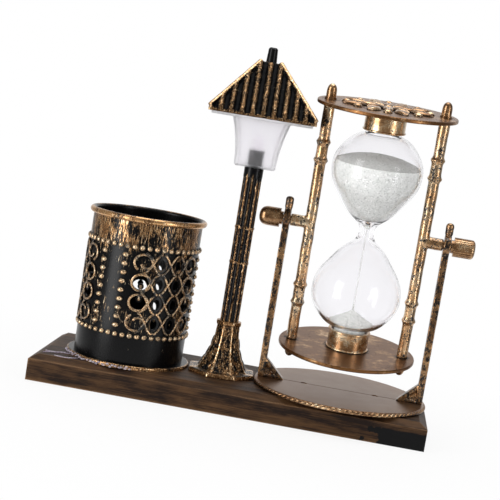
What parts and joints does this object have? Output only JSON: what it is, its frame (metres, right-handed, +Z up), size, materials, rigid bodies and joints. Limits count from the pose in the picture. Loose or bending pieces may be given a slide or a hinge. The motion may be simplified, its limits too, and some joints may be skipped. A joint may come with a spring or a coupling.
{
  "type": "hourglass desk set",
  "caption": "Hourglass that turns end over end in a round-plated stand, on a wooden board with a small street lamp and a pierced pen cup.",
  "frame": {"origin": "centre of the board's underside", "axes": "+X along the board towards the hourglass, +Y to the back, +Z up"},
  "size_m": [0.2048, 0.086, 0.1775],
  "materials": {
    "board_wood": "dark stained grain with worn edges",
    "black_plastic": "moulded",
    "bright_steel": "plated",
    "black_gold_metal": "black paint with gold brushed on the high spots",
    "frosted_shade": "frosted",
    "led_holder_plastic": "moulded",
    "led_lens": "clear",
    "wire_sleeve": "insulated",
    "antique_gold_metal": "antique gold with dark specks",
    "clear_glass": "blown",
    "white_sand": "loose grain"
  },
  "bodies": {
    "stand": {"base_board": "board_wood", "battery_tray": "black_plastic", "battery_door": "black_plastic", "door_screw": "bright_steel", "coin_cell": "bright_steel", "battery_contacts": "bright_steel", "switch_body": "black_plastic", "pen_cup_floor": "black_gold_metal", "pen_cup_wall": "black_gold_metal", "lamp_foot": "black_gold_metal", "lamp_post": "black_gold_metal", "lamp_shade": "frosted_shade", "led_holder": "led_holder_plastic", "led": "led_lens", "lamp_wires": "wire_sleeve", "lamp_roof": "black_gold_metal", "lamp_peg": "black_gold_metal", "stand_plate": "antique_gold_metal", "stand_screws": "bright_steel", "upright_rivets": "bright_steel", "left_upright": "antique_gold_metal", "right_upright": "antique_gold_metal"},
    "hourglass": {"top_disc": "antique_gold_metal", "bottom_disc": "antique_gold_metal", "top_collar": "antique_gold_metal", "bottom_collar": "antique_gold_metal", "left_post": "antique_gold_metal", "right_post": "antique_gold_metal", "acorn_nuts": "antique_gold_metal", "glass_bulb": "clear_glass", "upper_sand": "white_sand", "lower_sand": "white_sand"},
    "left_thumb_screw": {"left_pivot_screw": "antique_gold_metal"},
    "right_thumb_screw": {"right_pivot_screw": "antique_gold_metal"},
    "lamp_switch": {"switch_slider": "black_plastic"}
  },
  "joints": [
    {"name": "hourglass_turn", "type": "hinge", "parent": "stand", "child": "hourglass", "pos_m": [0.0534, 0, 0.0955], "axis": [1, 0, 0], "continuous": true},
    {"name": "left_screw_turn", "type": "hinge", "parent": "hourglass", "child": "left_thumb_screw", "pos_m": [0.0534, 0, 0.0955], "axis": [-1, 0, 0], "range_deg": [0, 180]},
    {"name": "right_screw_turn", "type": "hinge", "parent": "hourglass", "child": "right_thumb_screw", "pos_m": [0.0534, 0, 0.0955], "axis": [1, 0, 0], "range_deg": [0, 180]},
    {"name": "switch_slide", "type": "slide", "parent": "stand", "child": "lamp_switch", "axis": [1, 0, 0], "range_m": [0, 0.0025]}
  ]
}
